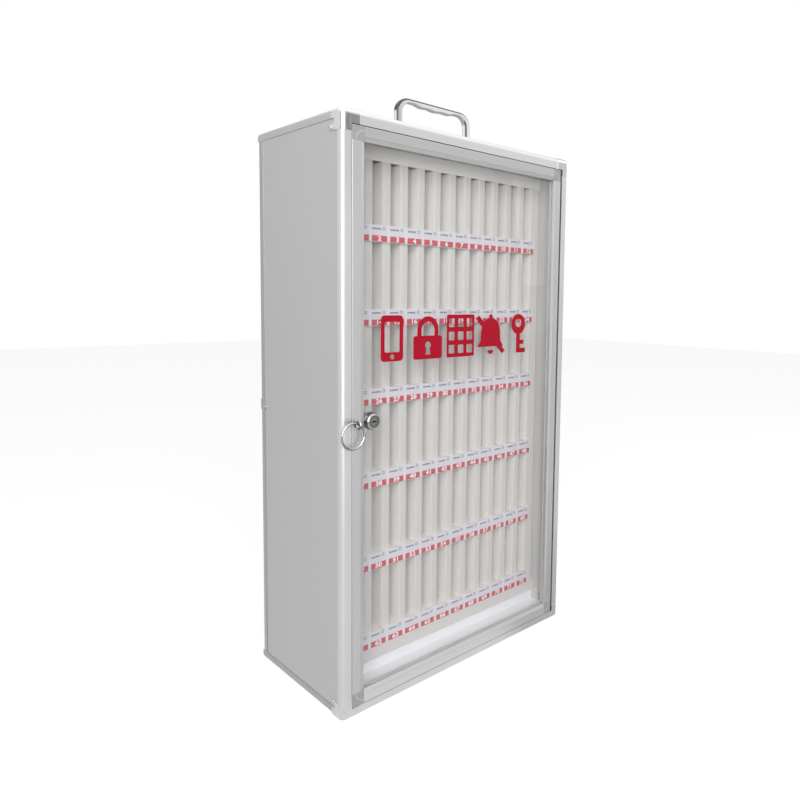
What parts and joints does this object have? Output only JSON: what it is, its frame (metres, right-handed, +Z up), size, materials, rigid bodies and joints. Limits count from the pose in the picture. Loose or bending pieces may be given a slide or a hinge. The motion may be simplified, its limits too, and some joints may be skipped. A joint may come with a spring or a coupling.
{
  "type": "phone locker cabinet",
  "caption": "Aluminium-framed cabinet with a glazed cam-locked door, pull ring, carrying handle and a rack of narrow numbered phone pockets.",
  "frame": {"origin": "middle of the flat base, half way across the width and the depth of the case", "axes": "+Z up, +Y towards the back of the cabinet, +X to the right as seen from the front"},
  "size_m": [0.4099, 0.2113, 0.774],
  "materials": {
    "frame_aluminium": "satin anodised, straight extrusion lines",
    "door_aluminium": "satin anodised, with a sloping bead beside the glass",
    "panel_silver": "aluminium sheet with a fine silver grey film, satin",
    "corner_cap_metal": "polished die casting",
    "corner_plastic": "fine grained grey moulding",
    "bush_plastic": "natural nylon",
    "steel": "zinc plated",
    "chrome_plate": "bright chrome plate",
    "key_brass": "nickel plated brass",
    "clear_glass": "clear float glass",
    "seal_rubber": "grey glazing rubber",
    "rack_white": "foamed sheet, slightly warm white",
    "skirt_white": "clean white strip",
    "label_print": "laminated paper labels, pale upper part over a red number band"
  },
  "bodies": {
    "case": {"back_clips": "steel", "back_panel": "panel_silver", "back_post_left": "frame_aluminium", "back_post_right": "frame_aluminium", "bottom_back_rail": "frame_aluminium", "bottom_front_rail": "frame_aluminium", "bottom_panel": "panel_silver", "bottom_side_rail_left": "frame_aluminium", "bottom_side_rail_right": "frame_aluminium", "cap_rivets": "steel", "corner_cap_bottom_left": "corner_cap_metal", "corner_cap_bottom_right": "corner_cap_metal", "corner_cap_top_left": "corner_cap_metal", "corner_cap_top_right": "corner_cap_metal", "corner_screws": "steel", "end_dividers": "rack_white", "floor_skirt": "skirt_white", "front_post_left": "frame_aluminium", "front_post_right": "frame_aluminium", "handle_bow": "chrome_plate", "handle_feet": "chrome_plate", "handle_screws": "steel", "label_strips": "label_print", "lock_strike": "steel", "pivot_bushes": "bush_plastic", "pocket_dividers": "rack_white", "rack_back": "rack_white", "rack_floor": "rack_white", "rack_header": "rack_white", "rack_plinth": "rack_white", "rack_side_left": "rack_white", "rack_side_right": "rack_white", "rack_top": "rack_white", "shelf_1": "rack_white", "shelf_2": "rack_white", "shelf_3": "rack_white", "shelf_4": "rack_white", "shelf_5": "rack_white", "shelf_6": "rack_white", "side_panel_left": "panel_silver", "side_panel_right": "panel_silver", "top_back_rail": "frame_aluminium", "top_front_rail": "frame_aluminium", "top_panel": "panel_silver", "top_side_rail_left": "frame_aluminium", "top_side_rail_right": "frame_aluminium"},
    "door": {"door_stile_left": "door_aluminium", "door_stile_right": "door_aluminium", "door_rail_top": "door_aluminium", "door_rail_bottom": "door_aluminium", "door_corner_blocks": "corner_plastic", "door_glass": "clear_glass", "glass_gasket": "seal_rubber", "pivot_pins": "steel", "lock_body": "chrome_plate", "lock_nut": "steel", "ring_eye": "chrome_plate"},
    "lock_cylinder": {"lock_plug": "key_brass", "lock_cam": "steel"},
    "ring": {"pull_ring": "chrome_plate"}
  },
  "joints": [
    {"name": "door_hinge", "type": "hinge", "parent": "case", "child": "door", "pos_m": [0.1806, -0.094, 0.3565], "axis": [0, 0, 1], "range_deg": [0, 100]},
    {"name": "lock_turn", "type": "hinge", "parent": "door", "child": "lock_cylinder", "pos_m": [-0.158, -0.09, 0.359], "axis": [0, 1, 0], "range_deg": [0, 90]},
    {"name": "ring_swing", "type": "hinge", "parent": "door", "child": "ring", "pos_m": [-0.1825, -0.106, 0.3591], "axis": [-1, 0, 0], "range_deg": [0, 100]}
  ]
}
